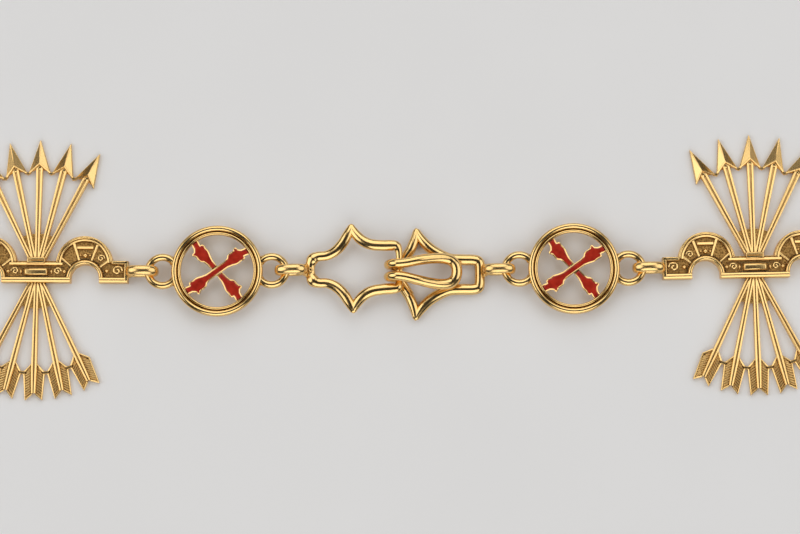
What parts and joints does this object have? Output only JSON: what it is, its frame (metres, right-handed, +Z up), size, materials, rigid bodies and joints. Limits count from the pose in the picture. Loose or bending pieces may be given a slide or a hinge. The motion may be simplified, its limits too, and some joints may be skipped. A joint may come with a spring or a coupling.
{
  "type": "chain of office",
  "caption": "Collar of gilt yoke-and-arrows links and red enamelled roundels, closed by a plain hook clasp, lying flat in a loop.",
  "frame": {"origin": "middle of the collar's outline, on the surface it lies on", "axes": "+X along the straight front run that holds the clasp, +Y from the clasp into the neck opening, +Z up, through the links' faces"},
  "size_m": [0.402, 0.3143, 0.0061],
  "materials": {
    "gilt": "polished gilt silver, with matt stippled grounds on the yokes",
    "red_enamel": "translucent glossy red enamel"
  },
  "bodies": {
    "root": {"yoke_link_01": "gilt", "yoke_link_02": "gilt", "yoke_link_03": "gilt", "yoke_link_04": "gilt", "yoke_link_05": "gilt", "yoke_link_06": "gilt", "yoke_link_07": "gilt", "yoke_link_08": "gilt", "yoke_link_09": "gilt", "yoke_link_10": "gilt", "yoke_link_11": "gilt", "yoke_link_12": "gilt", "yoke_link_13": "gilt", "roundel_01": "gilt", "roundel_02": "gilt", "roundel_03": "gilt", "roundel_04": "gilt", "roundel_05": "gilt", "roundel_06": "gilt", "roundel_07": "gilt", "roundel_08": "gilt", "roundel_09": "gilt", "roundel_10": "gilt", "roundel_11": "gilt", "roundel_12": "gilt", "roundel_13": "gilt", "roundel_14": "gilt", "clasp_eye": "gilt", "clasp_hook": "gilt", "enamel_cross_01": "red_enamel", "enamel_cross_02": "red_enamel", "enamel_cross_03": "red_enamel", "enamel_cross_04": "red_enamel", "enamel_cross_05": "red_enamel", "enamel_cross_06": "red_enamel", "enamel_cross_07": "red_enamel", "enamel_cross_08": "red_enamel", "enamel_cross_09": "red_enamel", "enamel_cross_10": "red_enamel", "enamel_cross_11": "red_enamel", "enamel_cross_12": "red_enamel", "enamel_cross_13": "red_enamel", "enamel_cross_14": "red_enamel"}
  },
  "joints": []
}
